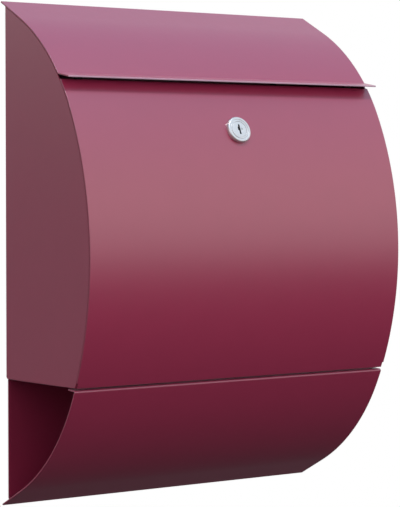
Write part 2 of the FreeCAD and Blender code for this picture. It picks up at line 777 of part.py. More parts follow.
def make_cam_screw():
    """Slotted screw that clamps the cam to the plug."""
    under = cam_rear - cam_spring_thickness
    rear = under - cam_screw_head
    head = Part.makeCylinder(cam_screw_head_radius, cam_screw_head, Vector(0, 0, rear))
    rim = [edge for edge in head.Edges if edge.BoundBox.ZMax < under - cam_screw_chamfer]
    head = head.makeChamfer(cam_screw_chamfer, rim)
    shank = Part.makeCylinder(cam_screw_radius, cam_screw_length + overlap, Vector(0, 0, under - overlap))
    slot = Part.makeBox(4 * cam_screw_head_radius, screw_slot_width, 2 * screw_slot_depth,
                        Vector(-2 * cam_screw_head_radius, -screw_slot_width / 2, rear - screw_slot_depth))
    return head.fuse(shank).cut(slot)


def make_lock_nut():
    """Hexagon nut behind the door, chamfered at its rear."""
    corner_step = full_turn / 6
    corner = lock_nut_flats / 2 / cosine(corner_step / 2)
    rear = nut_front - lock_nut_thickness
    angles = [corner_step * index for index in range(7)]
    points = [Vector(corner * cosine(angle), corner * sine(angle), rear) for angle in angles]
    block = Part.Face(Part.makePolygon(points)).extrude(Vector(0, 0, lock_nut_thickness))
    round_bar = Part.makeCylinder(corner, lock_nut_thickness, Vector(0, 0, rear))
    rear_rim = [edge for edge in round_bar.Edges if edge.BoundBox.ZMax < rear + lock_nut_chamfer]
    block = block.common(round_bar.makeChamfer(lock_nut_chamfer, rear_rim))
    return block.cut(Part.makeCylinder(lock_body_radius + turn_clearance, 2 * lock_body_length,
                                       Vector(0, 0, -2 * lock_body_length)))


def make_lock_washer():
    """Toothed washer between the nut and the door."""
    ring = turned_ring(lock_washer_radius, lock_body_radius + lock_clearance, nut_front, washer_front)
    low = nut_front - lock_washer_thickness
    notch = Part.makeBox(2 * washer_notch, washer_notch, 3 * lock_washer_thickness,
                         Vector(lock_washer_radius - washer_notch, -washer_notch / 2, low))
    notches = []
    for index in range(lock_washer_teeth):
        copy = notch.copy()
        copy.rotate(Vector(0, 0, 0), Vector(0, 0, 1), full_turn / lock_washer_teeth * index)
        notches.append(copy)
    return ring.cut(notches)


def placed(shape):
    """Lock part moved from its own axis to the door."""
    copy = shape.copy()
    copy.Placement = lock_place.multiply(copy.Placement)
    return copy


def make_door_buffers():
    """Rubber buttons on the rail's front lip, where the closed door comes to rest."""
    corners = rail_corners()
    head, foot = corners[2], corners[3]
    middle = ((head[0] + foot[0]) / 2, (head[1] + foot[1]) / 2)
    outward = ((foot[1] - head[1]) / rail_lip, (head[0] - foot[0]) / rail_lip)
    thickness = rail_gap - seat_gap
    buttons = []
    for x in (-inner_half + buffer_inset, inner_half - buffer_inset):
        end = (middle[0] + thickness * outward[0], middle[1] + thickness * outward[1])
        button = rod(buffer_radius, (x, *middle), (x, *end))
        buttons.append(button.makeChamfer(buffer_chamfer, [button.Edges[0]]))
    return Part.makeCompound(buttons)


def make_flap_buffers():
    """Rubber posts on the rail's top, under the flap's lip."""
    corners = rail_corners()
    y = (corners[1][0] + corners[2][0]) / 2
    base = corners[1][1]
    pieces = walk(*flap_path(), skin)
    near, far = pieces[-1]
    front_y = y - buffer_radius
    share = (front_y - near[0]) / (far[0] - near[0])
    top = near[1] + share * (far[1] - near[1]) - seat_gap
    posts = []
    for x in (-inner_half + buffer_inset, inner_half - buffer_inset):
        post = rod(buffer_radius, (x, y, base), (x, y, top))
        posts.append(post.makeChamfer(buffer_chamfer, [post.Edges[0]]))
    return Part.makeCompound(posts)


flap_fixed, flap_moving = flap_hinge_leaves()
door_fixed, door_moving = door_hinge_leaves()

nodes = {
    "housing": make_housing(),
    "compartment_floor": make_floor(),
    "strike_rail": make_strike_rail(),
    "newspaper_tray": make_tray(),
    "tray_rivets": make_tray_rivets(),
    "wall_bushes": make_bushes(),
    "flap_buffers": make_flap_buffers(),
    "door_buffers": make_door_buffers(),
    "flap_hinge_fixed_leaf": flap_fixed,
    "flap_hinge_rod": make_hinge_rod(flap_axis),
    "flap_hinge_rivets": make_hinge_rivets(flap_rivet_points(), right_angle),
    "door_hinge_fixed_leaf": door_fixed,
    "door_hinge_rod": make_hinge_rod(door_axis),
    "door_hinge_rivets": make_hinge_rivets(door_rivet_points(), half_turn),
    "flap_panel": make_flap(),
    "flap_hinge_moving_leaf": flap_moving,
    "door_panel": make_door(),
    "door_hinge_moving_leaf": door_moving,
    "lock_housing": placed(make_lock_housing()),
    "lock_washer": placed(make_lock_washer()),
    "lock_nut": placed(make_lock_nut()),
    "lock_plug": placed(make_lock_plug()),
    "lock_stop_disc": placed(make_stop_disc()),
    "lock_cam": placed(make_cam()),
    "cam_spring_washer": placed(make_cam_spring()),
    "cam_screw": placed(make_cam_screw()),
}

os.makedirs("parts", exist_ok=True)
for name, shape in nodes.items():
    shape.exportStep("parts/" + name + ".step")
    box = shape.BoundBox
    print(name, "solids", len(shape.Solids), "valid", shape.isValid(), "volume", round(shape.Volume, 1))
    print("  from", [round(v, 1) for v in (box.XMin, box.YMin, box.ZMin)],
          "to", [round(v, 1) for v in (box.XMax, box.YMax, box.ZMax)])
print("front radius", round(front_radius, 2), "depth", round(front_depth, 2))
print("door axis", [round(v, 3) for v in door_axis], "flap axis", [round(v, 3) for v in flap_axis])
print("lock point", [round(v, 3) for v in lock_point], "lean", round(lock_lean, 3))
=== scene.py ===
# %% [markdown]
# A wall mounted post box, dressed for its picture. The construction model gives every piece its size
# and place, in metres, with the wall's surface at y = 0, the front towards -Y and Z up. This file
# adds what a camera sees: the satin red powder coat, the bright lock, the zinc on the hinges, the
# rubber, the light and the camera. It reads nothing but that model.

# %% Load the frame
import json
import math

import bmesh
import bpy
import numpy as np
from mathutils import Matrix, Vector


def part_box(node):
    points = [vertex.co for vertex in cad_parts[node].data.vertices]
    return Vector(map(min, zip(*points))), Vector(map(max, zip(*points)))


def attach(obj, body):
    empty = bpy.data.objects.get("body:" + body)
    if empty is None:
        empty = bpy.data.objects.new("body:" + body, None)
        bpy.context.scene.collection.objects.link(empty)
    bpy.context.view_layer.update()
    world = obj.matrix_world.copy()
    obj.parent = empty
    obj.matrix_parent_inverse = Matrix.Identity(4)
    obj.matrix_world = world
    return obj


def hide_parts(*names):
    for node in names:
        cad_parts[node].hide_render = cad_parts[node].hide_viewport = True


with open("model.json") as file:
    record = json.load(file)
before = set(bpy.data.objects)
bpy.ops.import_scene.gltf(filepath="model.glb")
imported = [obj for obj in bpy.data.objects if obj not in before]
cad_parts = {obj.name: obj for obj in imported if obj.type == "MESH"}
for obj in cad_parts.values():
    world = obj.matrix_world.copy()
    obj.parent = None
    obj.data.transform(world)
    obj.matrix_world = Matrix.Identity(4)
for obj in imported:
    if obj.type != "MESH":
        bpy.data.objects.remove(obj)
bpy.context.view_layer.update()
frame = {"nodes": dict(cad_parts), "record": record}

MM = 0.001
nodes = frame["nodes"]

# %% [markdown]
# The front of the box is one line in side view: a wide arc, a tighter arc above and below it, and a
# straight tail at each end. A sheet metal shop would roll the panels to that line. Its sizes are
# written down once, and its height comes from the construction model, so that flap, door and tray
# can all follow the same line. The rolled panels are a SKIN thick, and the folded side walls a WALL.

# %% Sizes of the curved front
DOOR_LOW, DOOR_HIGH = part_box("door_panel")
HALF_WIDTH = DOOR_HIGH.x
TOP_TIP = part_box("flap_panel")[1].z
BOTTOM_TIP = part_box("newspaper_tray")[0].z
MIDDLE = (TOP_TIP + BOTTOM_TIP) / 2
TIP_Y = -0.005
SKIN = 0.0015
WALL = 0.0012
SHOULDER_RADIUS = 0.1942
SHOULDER_ANGLE = math.radians(26.4)
TAIL_ANGLE = math.radians(62.6)
TAIL_LENGTH = 0.0375
INSIDE_BEND = 0.0012

SHOULDER_RISE = SHOULDER_RADIUS * (math.sin(TAIL_ANGLE) - math.sin(SHOULDER_ANGLE))
TAIL_RISE = TAIL_LENGTH * math.cos(TAIL_ANGLE)
FRONT_RADIUS = ((TOP_TIP - BOTTOM_TIP) / 2 - TAIL_RISE - SHOULDER_RISE) / math.sin(SHOULDER_ANGLE)
FRONT_DEPTH = (FRONT_RADIUS * (1 - math.cos(SHOULDER_ANGLE))
               + SHOULDER_RADIUS * (math.cos(SHOULDER_ANGLE) - math.cos(TAIL_ANGLE))
               + TAIL_LENGTH * math.sin(TAIL_ANGLE))
CENTRE_Y = FRONT_RADIUS - FRONT_DEPTH + TIP_Y
print("front radius %.1f mm, depth %.1f mm" % (FRONT_RADIUS / MM, FRONT_DEPTH / MM))

# %% [markdown]
# A place on the front is told by how far the sheet leans there. On a circle the lean is the angle
# about its centre, so a height gives the lean with asin, and the lean gives the point with sine and
# cosine. The lock's hole and the folds find their places that way, without measuring along the line.

# %% Places on the front
def lean_at(height):
    """Lean of the front at a height above its middle: asin(height / radius) on the wide arc,
    and the same about the tighter arc's own centre beyond it."""
    reach = abs(height)
    if reach <= FRONT_RADIUS * math.sin(SHOULDER_ANGLE):
        ratio = reach / FRONT_RADIUS
    else:
        ratio = (reach - (FRONT_RADIUS - SHOULDER_RADIUS) * math.sin(SHOULDER_ANGLE)) / SHOULDER_RADIUS
    return math.copysign(math.asin(ratio), height)


def front_point(lean):
    """(y, z) of the front where its normal leans up by this angle: centre + radius * (-cos, sin)."""
    y, z, radius = CENTRE_Y, MIDDLE, FRONT_RADIUS
    if abs(lean) > SHOULDER_ANGLE:
        radius = SHOULDER_RADIUS
        y -= (FRONT_RADIUS - SHOULDER_RADIUS) * math.cos(SHOULDER_ANGLE)
        z += math.copysign((FRONT_RADIUS - SHOULDER_RADIUS) * math.sin(SHOULDER_ANGLE), lean)
    return y - radius * math.cos(lean), z + radius * math.sin(lean)


door_top_lean = lean_at(DOOR_HIGH.z - MIDDLE)
door_bottom_lean = lean_at(DOOR_LOW.z - MIDDLE)
print("the door leans %.1f degrees at its top" % math.degrees(door_top_lean))

# %% [markdown]
# Rolled and folded sheets are drawn as a turtle would walk them: a move is a length and a turn, and a
# fold is a short move with a large turn. A curve object could do that too, but here every arc has its
# true radius, and all points of a move come out as one array.

# %% Walking along a line
ROW_SPACING = 0.003
ROW_TURN = math.radians(9)


def front_moves(first, last):
    """Moves (length, turn) that follow the front from one lean to another."""
    low, high = min(first, last), max(first, last)
    joints = [a for a in (-SHOULDER_ANGLE, SHOULDER_ANGLE) if low < a < high]
    stops = [first] + sorted(joints, reverse=last < first) + [last]
    moves = []
    for a, b in zip(stops, stops[1:]):
        radius = FRONT_RADIUS if abs(a + b) / 2 < SHOULDER_ANGLE else SHOULDER_RADIUS
        moves.append((radius * abs(a - b), a - b))
    return moves


def bend(radius, turn):
    """Move round a bend whose walked face has this radius: its length is radius * turn."""
    return (radius * abs(turn), turn)


def follow(start, heading, moves):
    """Points (n, 2) and headings (n,) along moves (length, turn). Along one move the heading grows
    evenly, so a point is the start plus the integral of (cos, sin), which is an arc or a straight."""
    points, headings = [np.array([start])], [np.array([heading])]
    for length, turn in moves:
        count = max(int(math.ceil(max(length / ROW_SPACING, abs(turn) / ROW_TURN))), 1)
        share = np.linspace(0, 1, count + 1)[1:]
        angle = heading + turn * share
        if turn:
            rise = math.cos(heading) - np.cos(angle)
            step = length / turn * np.stack([np.sin(angle) - math.sin(heading), rise], 1)
        else:
            step = length * share[:, None] * np.array([math.cos(heading), math.sin(heading)])
        points.append(points[-1][-1] + step)
        headings.append(angle)
        heading += turn
    return np.concatenate(points), np.concatenate(headings)


print("the whole front is", len(front_moves(TAIL_ANGLE, -TAIL_ANGLE)), "arcs")

# %% [markdown]
# Every piece made here is a closed skin over rows of points: cross sections of a sheet, or rings of a
# turned shape. One array of point numbers, shifted by a row and by a point, gives the four corners of
# all faces. A bevel rounds the sharp edges, because paint and plating leave none, and weighted
# normals keep a large flat face flat right up to its rounded edge.

# %% Skins, edges and shading
SHARP = 40


def mesh_object(name, points, faces):
    """Object at the origin from an array of points and a list of faces."""
    mesh = bpy.data.meshes.new(name)
    mesh.from_pydata([tuple(p) for p in points.tolist()], [], [tuple(f) for f in faces])
    mesh.validate()
    obj = bpy.data.objects.new(name, mesh)
    bpy.context.scene.collection.objects.link(obj)
    return obj


def outwards(obj):
    """Turns the faces of a closed piece outwards."""
    built = bmesh.new()
    built.from_mesh(obj.data)
    bmesh.ops.recalc_face_normals(built, faces=built.faces)
    built.to_mesh(obj.data)
    built.free()
    return obj


def tube(name, rows, closed=False):
    """Closed skin over rows of points (rows, around, 3): each row is joined to the next one. The
    last row is joined to the first, or else a face closes each end."""
    count, around = rows.shape[:2]
    index = np.arange(count * around).reshape(count, around)
    low = index if closed else index[:-1]
    high = np.roll(index, -1, 0) if closed else index[1:]
    faces = np.stack([low, np.roll(low, -1, 1), np.roll(high, -1, 1), high], 2).reshape(-1, 4).tolist()
    if not closed:
        faces += [index[0][::-1].tolist(), index[-1].tolist()]
    return outwards(mesh_object(name, rows.reshape(-1, 3), faces))


def smooth(obj):
    """Smooth shading that follows the larger of two neighbouring faces, so that flats stay flat."""
    for polygon in obj.data.polygons:
        polygon.use_smooth = True
    obj.modifiers.new("normals", "WEIGHTED_NORMAL")


def soften(obj, radius, angle=SHARP):
    """Rounds every edge sharper than the angle in two steps, then shades the piece smooth."""
    bevel = obj.modifiers.new("edges", "BEVEL")
    bevel.width = radius
    bevel.segments = 2
    bevel.limit_method = "ANGLE"
    bevel.angle_limit = math.radians(angle)
    bevel.use_clamp_overlap = True
    smooth(obj)


print("edges that turn by more than", SHARP, "degrees are rounded")

# %% [markdown]
# A sheet could be a plane with a Solidify modifier. Walking both faces of the sheet in the same
# arrays gives the same result with exact bend radii: each row of the sheet lies square to the walked
# line, half the thickness to its left. Powder coat leaves no sharp edge, so the corners of each row
# are round, and the last rows at each end shrink towards the cut.

# %% Sheets from a line
EDGE = 0.00035
EDGE_STEPS = 4
POINTS_AROUND = 4 * (EDGE_STEPS + 1)
LAST_ROLL = math.radians(85)
CORNERS = [(1, 1), (-1, 1), (-1, -1), (1, -1)]


def sheet(name, start, heading, moves, thickness, half_width):
    """Closed sheet with rounded edges. A row is an inner rectangle plus r * (cos a, sin a) round its
    corners, with r the radius of the edge. At each end r shrinks to r * cos b while the row moves on
    by r * sin b, which rounds the end in the same way."""
    line, angle = follow(start, heading, moves)
    roll = np.linspace(LAST_ROLL, 0, EDGE_STEPS + 1)
    inset = EDGE * (1 - np.sin(roll) / math.sin(LAST_ROLL))[:, None]
    ends = np.stack([np.cos(angle[[0, -1]]), np.sin(angle[[0, -1]])], 1)
    line = np.concatenate([line[0] + inset * ends[0], line[1:-1], line[-1] - inset[::-1] * ends[1]])
    angle = np.concatenate([np.full(len(roll), angle[0]), angle[1:-1], np.full(len(roll), angle[-1])])
    plain_rows = np.ones(len(line) - 2 * len(roll))
    radius = EDGE * np.concatenate([np.cos(roll), plain_rows, np.cos(roll[::-1])])
    left = np.stack([-np.sin(angle), np.cos(angle)], 1)
    middle = line + left * thickness / 2
    round_corner = np.linspace(0, math.pi / 2, EDGE_STEPS + 1)
    around = (np.arange(4)[:, None] * math.pi / 2 + round_corner).ravel()
    inner = np.repeat(CORNERS, EDGE_STEPS + 1, 0) * (half_width - EDGE, abs(thickness) / 2 - EDGE)
    rows = np.zeros((len(line), len(around), 3))
    rows[..., 0] = inner[:, 0] + radius[:, None] * np.cos(around)
    depth = inner[:, 1] + radius[:, None] * np.sin(around)
    rows[..., 1:] = middle[:, None, :] + left[:, None, :] * depth[..., None]
    print(name, len(line), "rows")
    return tube(name, rows)


print("a row of a sheet has", POINTS_AROUND, "points")

# %% [markdown]
# The photograph was taken from the left of the box and a little above its middle, with a long lens,
# so that the straight edges hardly converge. A camera is set by where it stands, where it looks and
# how much it takes in. Those three were found by matching the corners of the box in the picture.

# %% The camera
CAMERA_PLACE = Vector((-1.2547, -1.7307, 0.0249))
CAMERA_YAW = math.radians(37.10)
CAMERA_TILT = math.radians(2.101)
CAMERA_LENS = 150.99
SENSOR_WIDTH = 36.0
NEAREST = 0.05
FARTHEST = 100.0

camera_data = bpy.data.cameras.new("camera")
camera_data.sensor_width = SENSOR_WIDTH
camera_data.lens = CAMERA_LENS
camera_data.clip_start = NEAREST
camera_data.clip_end = FARTHEST
camera = bpy.data.objects.new("camera", camera_data)
camera.location = CAMERA_PLACE
camera.rotation_euler = (math.radians(90) - CAMERA_TILT, 0.0, -CAMERA_YAW)
bpy.context.scene.collection.objects.link(camera)
bpy.context.scene.camera = camera
bpy.context.scene.view_settings.view_transform = "Standard"
print("camera stands %.2f m from the box" % CAMERA_PLACE.length)

# %% [markdown]
# In a studio one thing lights the box, and another shows in its shine. Shading nodes can do the same,
# because they can ask what kind of ray wants a colour, and which way it goes. These helpers tell
# rays that are seen from rays that only carry light, and change a colour with height.

# %% Colours that depend on the ray
WHITE = (1.0, 1.0, 1.0, 1.0)
SEEN = ("Is Camera Ray", "Is Glossy Ray", "Is Transmission Ray")


def node_tree(owner):
    """Empty node tree of a material or of the world."""
    owner.use_nodes = True
    owner.node_tree.nodes.clear()
    return owner.node_tree


def seen_rays(tree):
    """Socket that is 1 for rays from the camera, from mirrors and through glass, and 0 for the rest."""
    path = tree.nodes.new("ShaderNodeLightPath")
    total = path.outputs[SEEN[0]]
    for name in SEEN[1:]:
        add = tree.nodes.new("ShaderNodeMath")
        add.operation = "MAXIMUM"
        tree.links.new(total, add.inputs[0])
        tree.links.new(path.outputs[name], add.inputs[1])
        total = add.outputs[0]
    return total


def mix_colours(tree, factor, first, second):
    """Colour that goes from the first to the second as the factor goes from 0 to 1. Either one is a
    fixed colour or a socket."""
    mix = tree.nodes.new("ShaderNodeMix")
    mix.data_type = "RGBA"
    tree.links.new(factor, mix.inputs["Factor"])
    for name, colour in (("A", first), ("B", second)):
        if isinstance(colour, tuple):
            mix.inputs[name].default_value = colour
        else:
            tree.links.new(colour, mix.inputs[name])
    return mix.outputs["Result"]


def by_height(tree, low, high, start, end):
    """Colour that goes from low to high as the direction rises from one height to another."""
    place = tree.nodes.new("ShaderNodeTexCoord")
    split = tree.nodes.new("ShaderNodeSeparateXYZ")
    tree.links.new(place.outputs["Generated"], split.inputs[0])
    rise = tree.nodes.new("ShaderNodeMapRange")
    rise.inputs["From Min"].default_value = start
    rise.inputs["From Max"].default_value = end
    tree.links.new(split.outputs["Z"], rise.inputs["Value"])
    return mix_colours(tree, rise.outputs[0], low, high)


print("seen rays:", ", ".join(SEEN))

# %% [markdown]
# Satin paint gets its look from what it mirrors, so the room matters as much as the lamps. To the
# camera the room is plain white. Mirrors and glass see it turn blue high up, which gives the panels
# that lean back their cool tinge. The light that only fills in comes from the same room, and less of
# it from overhead, so that the flap doesn't turn pale.

# %% The white room
MIRRORED_HIGH = (0.30, 0.69, 1.02, 1.0)
MIRRORED_TURNS = (0.3, 0.8)
FILL_LOW = (1.42, 1.40, 1.42, 1.0)
FILL_HIGH = (0.85, 0.85, 0.85, 1.0)
FILL_TURNS = (0.0, 0.8)


def make_room():
    """World: plain white to the camera, white that turns blue high up to mirrors and glass, and for
    fill light a colour of its own."""
    world = bpy.data.worlds.new("white_room")
    bpy.context.scene.world = world
    tree = node_tree(world)
    links = tree.links
    fill = tree.nodes.new("ShaderNodeBackground")
    links.new(by_height(tree, FILL_LOW, FILL_HIGH, *FILL_TURNS), fill.inputs["Color"])
    seen = tree.nodes.new("ShaderNodeBackground")
    path = tree.nodes.new("ShaderNodeLightPath")
    mirrored = by_height(tree, WHITE, MIRRORED_HIGH, *MIRRORED_TURNS)
    links.new(mix_colours(tree, path.outputs["Is Camera Ray"], mirrored, WHITE), seen.inputs["Color"])
    mix = tree.nodes.new("ShaderNodeMixShader")
    links.new(seen_rays(tree), mix.inputs[0])
    links.new(fill.outputs[0], mix.inputs[1])
    links.new(seen.outputs[0], mix.inputs[2])
    out = tree.nodes.new("ShaderNodeOutputWorld")
    links.new(mix.outputs[0], out.inputs["Surface"])


make_room()
print("room", bpy.context.scene.world.name)

# %% [markdown]
# The floor is pale paper that is white wherever it is seen, and clear from below, so that a low
# camera looks through it. A dark cloth lies on it. The camera doesn't see the cloth, but the paint
# mirrors it, and that is what makes the lower half of the door and the tray so deep a red.

# %% The floor and the dark cloth
FLOOR_HEIGHT = -1.6
FLOOR_REACH = 60.0
FLOOR_COLOUR = (0.78, 0.78, 0.78, 1.0)
CLOTH_REACH = 30.0
CLOTH_LIFT = 0.01
CLOTH_COLOUR = (0.045, 0.040, 0.045, 1.0)
DISC_POINTS = 96


def stage_piece(name, points, material):
    """One flat face from its points in order: a piece of the studio and not of the box."""
    mesh = bpy.data.meshes.new(name)
    mesh.from_pydata(points, [], [list(range(len(points)))])
    mesh.materials.append(material)
    obj = bpy.data.objects.new(name, mesh)
    bpy.context.scene.collection.objects.link(obj)
    return obj


def disc(radius, height):
    """Points of a level disc about the Z axis: (radius * cos a, radius * sin a, height)."""
    angle = np.linspace(0, 2 * math.pi, DISC_POINTS, endpoint=False)
    flat = [radius * np.cos(angle), radius * np.sin(angle), np.full(DISC_POINTS, height)]
    return np.stack(flat, 1).tolist()


def matt(name, colour):
    """Material that scatters one colour evenly."""
    material = bpy.data.materials.new(name)
    tree = node_tree(material)
    surface = tree.nodes.new("ShaderNodeBsdfDiffuse")
    surface.inputs["Color"].default_value = colour
    out = tree.nodes.new("ShaderNodeOutputMaterial")
    tree.links.new(surface.outputs[0], out.inputs["Surface"])
    return material


def mix_surfaces(tree, factor, first, second):
    """Surface that is the first where the factor is 0 and the second where it is 1."""
    mix = tree.nodes.new("ShaderNodeMixShader")
    for number, source in enumerate((factor, first, second)):
        tree.links.new(source, mix.inputs[number])
    return mix.outputs[0]


def floor_paper():
    """White to seen rays, pale grey paper to the rest, and nothing at all from below."""
    material = bpy.data.materials.new("floor_paper")
    tree = node_tree(material)
    paper = tree.nodes.new("ShaderNodeBsdfDiffuse")
    paper.inputs["Color"].default_value = FLOOR_COLOUR
    white = tree.nodes.new("ShaderNodeEmission")
    white.inputs["Color"].default_value = WHITE
    top = mix_surfaces(tree, seen_rays(tree), paper.outputs[0], white.outputs[0])
    side = tree.nodes.new("ShaderNodeNewGeometry")
    clear = tree.nodes.new("ShaderNodeBsdfTransparent")
    both = mix_surfaces(tree, side.outputs["Backfacing"], top, clear.outputs[0])
    out = tree.nodes.new("ShaderNodeOutputMaterial")
    tree.links.new(both, out.inputs["Surface"])
    return material


stage_piece("floor", disc(FLOOR_REACH, FLOOR_HEIGHT), floor_paper())
cloth_points = disc(CLOTH_REACH, FLOOR_HEIGHT + CLOTH_LIFT)
cloth = stage_piece("dark_cloth", cloth_points, matt("dark_cloth", CLOTH_COLOUR))
cloth.visible_camera = False
print("floor and cloth at z", FLOOR_HEIGHT)

# %% [markdown]
# The left side of the box gets no light from the lamps in front, so it takes its shade from what
# stands beside it. A large grey card stands behind the box at the left, and the camera doesn't see
# it. It takes the white off the lower part of that side, so the shade grows from top to bottom.

# %% The grey card
CARD_PLACE = (-2.2, 2.6, -0.55)
CARD_WIDTH = 4.0
CARD_HEIGHT = 2.1
CARD_COLOUR = (0.33, 0.32, 0.34, 1.0)


def upright_card(middle, width, height):
    """Corners of an upright card that faces the box: its middle plus or minus half the width, square
    to the direction of the box, and plus or minus half the height."""
    across = Vector((-middle[1], middle[0], 0.0)).normalized() * width / 2
    up = Vector((0.0, 0.0, height / 2))
    return [Vector(middle) + across * a + up * b for a, b in ((-1, -1), (1, -1), (1, 1), (-1, 1))]


card_corners = upright_card(CARD_PLACE, CARD_WIDTH, CARD_HEIGHT)
card = stage_piece("side_card", card_corners, matt("grey_card", CARD_COLOUR))
card.visible_camera = False
print("grey card of", CARD_WIDTH, "by", CARD_HEIGHT, "m")

# %% [markdown]
# Two lamps shape the box. The key lamp hangs high and steep in front of it. It is small, and that is
# what keeps the shadow under the flap's lip crisp. The front lamp is wide and far, and fills the door
# evenly. It isn't mirrored, because it would show as a round spot in the paint.

# %% The lamps
BOX_CENTRE = (0.0, -0.08, MIDDLE)
LIP_PLACE = (0.0, -0.12, 0.10)
FRONT_LAMP = (0.4, -3.0, 0.6)
FRONT_LAMP_SIZE = 1.6
FRONT_LAMP_POWER = 22.0
KEY_LAMP = (0.0, -1.40, 2.95)
KEY_LAMP_SIZE = 0.30
KEY_LAMP_POWER = 50.0


def soft_lamp(name, place, target, size, power, mirrored):
    """Round lamp at a place, turned to its target. The camera never sees it, mirrors only if asked."""
    light = bpy.data.lights.new(name, "AREA")
    light.shape = "DISK"
    light.size = size
    light.energy = power
    lamp = bpy.data.objects.new(name, light)
    lamp.location = place
    lamp.rotation_euler = (Vector(target) - Vector(place)).to_track_quat("-Z", "Y").to_euler()
    lamp.visible_camera = False
    lamp.visible_glossy = mirrored
    bpy.context.scene.collection.objects.link(lamp)


soft_lamp("front_lamp", FRONT_LAMP, BOX_CENTRE, FRONT_LAMP_SIZE, FRONT_LAMP_POWER, False)
soft_lamp("key_lamp", KEY_LAMP, LIP_PLACE, KEY_LAMP_SIZE, KEY_LAMP_POWER, True)
print("two lamps, the key lamp at a height of", KEY_LAMP[2], "m")

# %% [markdown]
# All finishes are made with noise on the piece's own coordinates, which moves with the piece and has
# no seams. One noise changes the shade, one the roughness, and a fine one raises the surface a
# little. A picture of the material would have to be wrapped round each piece instead.

# %% Tools for finishes
FINISHES = {}


def rgb(red, green, blue):
    return (red, green, blue, 1.0)


def new_finish(name):
    """New material with one Principled surface, kept under its name: returns its tree and surface."""
    material = bpy.data.materials.new(name)
    FINISHES[name] = material
    tree = node_tree(material)
    surface = tree.nodes.new("ShaderNodeBsdfPrincipled")
    out = tree.nodes.new("ShaderNodeOutputMaterial")
    tree.links.new(surface.outputs[0], out.inputs["Surface"])
    return tree, surface


def object_noise(tree, waves, detail=2.0):
    """Noise on the piece's own coordinates, in waves per metre."""
    place = tree.nodes.new("ShaderNodeTexCoord")
    noise = tree.nodes.new("ShaderNodeTexNoise")
    noise.inputs["Scale"].default_value = waves
    noise.inputs["Detail"].default_value = detail
    tree.links.new(place.outputs["Object"], noise.inputs["Vector"])
    return noise.outputs["Fac"]


def shades(tree, surface, fac, dark, light):
    """Base colour between two shades, by the grey value that comes in."""
    tree.links.new(mix_colours(tree, fac, dark, light), surface.inputs["Base Color"])


def lay_over(tree, surface, fac, colour):
    """Lays another colour over the base colour, where the grey value that comes in is 1."""
    base = surface.inputs["Base Color"].links[0].from_socket
    tree.links.new(mix_colours(tree, fac, base, colour), surface.inputs["Base Color"])


def roughness(tree, surface, fac, low, high):
    """Roughness from low to high as the grey value goes from 0 to 1."""
    span = tree.nodes.new("ShaderNodeMapRange")
    span.inputs["To Min"].default_value = low
    span.inputs["To Max"].default_value = high
    tree.links.new(fac, span.inputs["Value"])
    tree.links.new(span.outputs[0], surface.inputs["Roughness"])


def bumps(tree, surface, fac, strength, height):
    """Raises the surface by up to a height, in metres, as the grey value goes from 0 to 1."""
    bump = tree.nodes.new("ShaderNodeBump")
    bump.inputs["Strength"].default_value = strength
    bump.inputs["Distance"].default_value = height
    tree.links.new(fac, bump.inputs["Height"])
    tree.links.new(bump.outputs[0], surface.inputs["Normal"])


print("finishes so far:", sorted(FINISHES))

# %% [markdown]
# Powder coat is a plastic paint, baked on as a dry powder. It has one colour, a satin shine and a
# very fine orange peel, about a millimetre from wave to wave, which breaks up reflections. A weak
# sheen makes it paler where it is seen at a flat angle. A paler colour is painted on the front edge
# of the flap's lip as a highlight, and an attribute of the mesh says where that is.

# %% Powder coat
PAINT_DARK = rgb(0.250, 0.0141, 0.0525)
PAINT_LIGHT = rgb(0.272, 0.0159, 0.0577)
# Painted highlight: a paler colour for the front edge of the flap's lip, marked by a mesh attribute.
PAINT_EDGE_HIGHLIGHT = rgb(0.47, 0.29, 0.38)
PAINT_SHINE = 1.0
PAINT_INDEX = 1.65
HIGHLIGHT_ATTRIBUTE = "painted_edge_highlight"
SHEEN_WEIGHT = 0.35
SHEEN_ROUGHNESS = 0.2
SHEEN_COLOUR = rgb(1.0, 0.72, 0.82)
CLOUD_WAVES = 45.0
CLOUD_DETAIL = 3.0
SATIN_WAVES = 160.0
SATIN = (0.32, 0.37)
PEEL_WAVES = 900.0
PEEL_DETAIL = 1.0
PEEL_STRENGTH = 0.20
PEEL_HEIGHT = 0.00004


def powder_coat():
    """Satin red paint: two close shades, a highlight painted on marked edges, a sheen and orange peel.
    """
    tree, surface = new_finish("powder_coat")
    shades(tree, surface, object_noise(tree, CLOUD_WAVES, CLOUD_DETAIL), PAINT_DARK, PAINT_LIGHT)
    # The painted highlight is laid over the paint where the mesh attribute is 1.
    highlight_node = tree.nodes.new("ShaderNodeAttribute")
    highlight_node.attribute_name = HIGHLIGHT_ATTRIBUTE
    lay_over(tree, surface, highlight_node.outputs["Fac"], PAINT_EDGE_HIGHLIGHT)
    roughness(tree, surface, object_noise(tree, SATIN_WAVES), *SATIN)
    surface.inputs["IOR"].default_value = PAINT_INDEX
    surface.inputs["Specular IOR Level"].default_value = PAINT_SHINE
    surface.inputs["Sheen Weight"].default_value = SHEEN_WEIGHT
    surface.inputs["Sheen Tint"].default_value = SHEEN_COLOUR
    surface.inputs["Sheen Roughness"].default_value = SHEEN_ROUGHNESS
    bumps(tree, surface, object_noise(tree, PEEL_WAVES, PEEL_DETAIL), PEEL_STRENGTH, PEEL_HEIGHT)


powder_coat()
print("powder coat, peel of", PEEL_WAVES, "waves per metre")

# %% [markdown]
# The other finishes hardly show from the front, but do from behind and with the door open. They are
# all made by one recipe, since they differ only in colour and in how sharply they mirror. The zinc on
# the hinges and the cam is dull and cloudy, because its crystals scatter the light.

